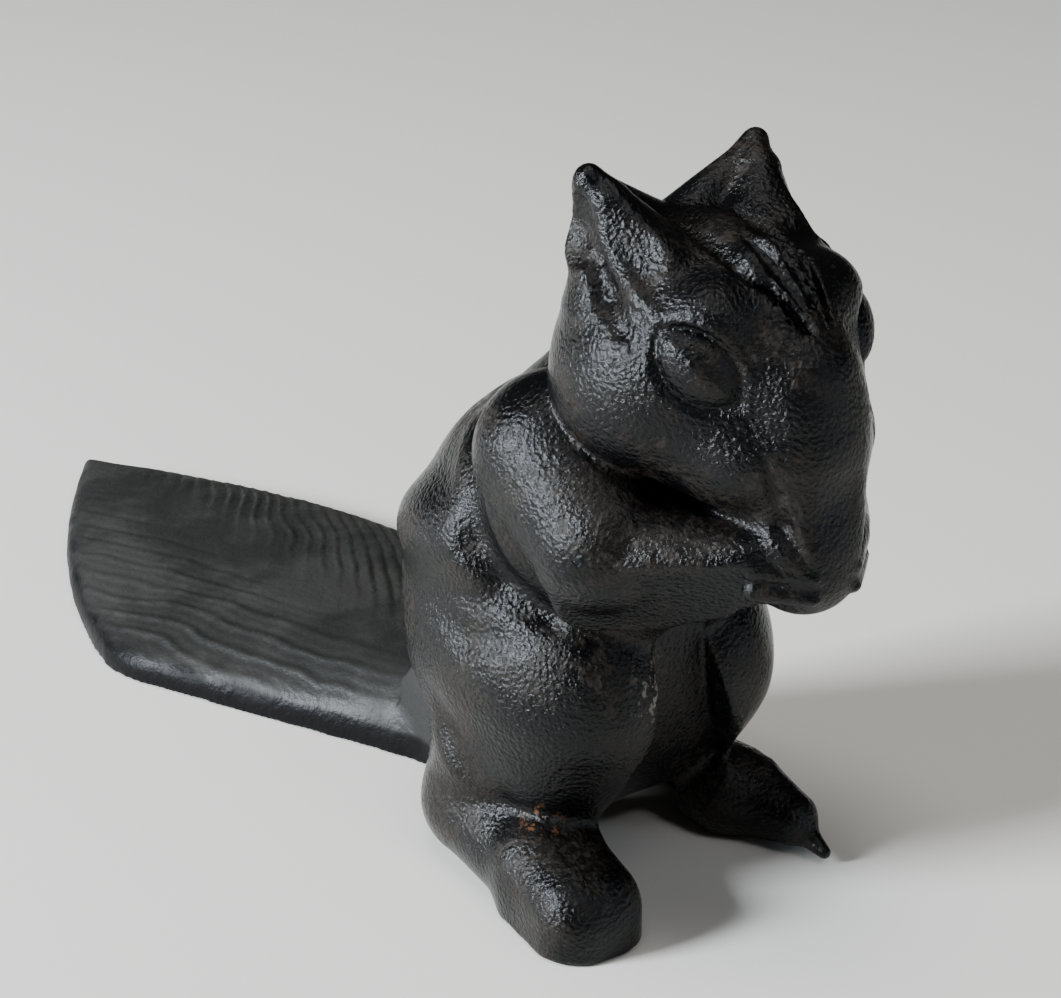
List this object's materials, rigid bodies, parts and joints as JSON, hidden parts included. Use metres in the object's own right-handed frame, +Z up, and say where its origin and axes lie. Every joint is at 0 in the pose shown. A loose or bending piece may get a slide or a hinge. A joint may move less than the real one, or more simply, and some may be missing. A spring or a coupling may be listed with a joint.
{
  "type": "squirrel nutcracker",
  "caption": "Cast iron nutcracker in the shape of a sitting squirrel; the broad leaf-shaped tail is a lever that drives a ridged jaw inside the hollow body.",
  "frame": {"origin": "on the table, under the middle of the overall length and width", "axes": "+Z up from the table, +Y from the squirrel towards the tip of its tail, +X to the squirrel's left; but for its feet and the hollow of its belly the figure is mirrored about X = 0"},
  "size_m": [0.067, 0.2106, 0.108],
  "materials": {
    "black_iron": "glossy black enamel over rough sand-cast iron",
    "pin_steel": "plain turned steel",
    "tail_iron": "dark grey enamel worn to a matte surface"
  },
  "bodies": {
    "squirrel": {"body_casting": "black_iron", "hinge_pin": "pin_steel"},
    "tail": {"tail_lever": "tail_iron"}
  },
  "joints": [
    {"name": "tail_hinge", "type": "hinge", "parent": "squirrel", "child": "tail", "pos_m": [0, -0.03325, 0.038], "axis": [1, 0, 0], "range_deg": [0, 50]}
  ]
}
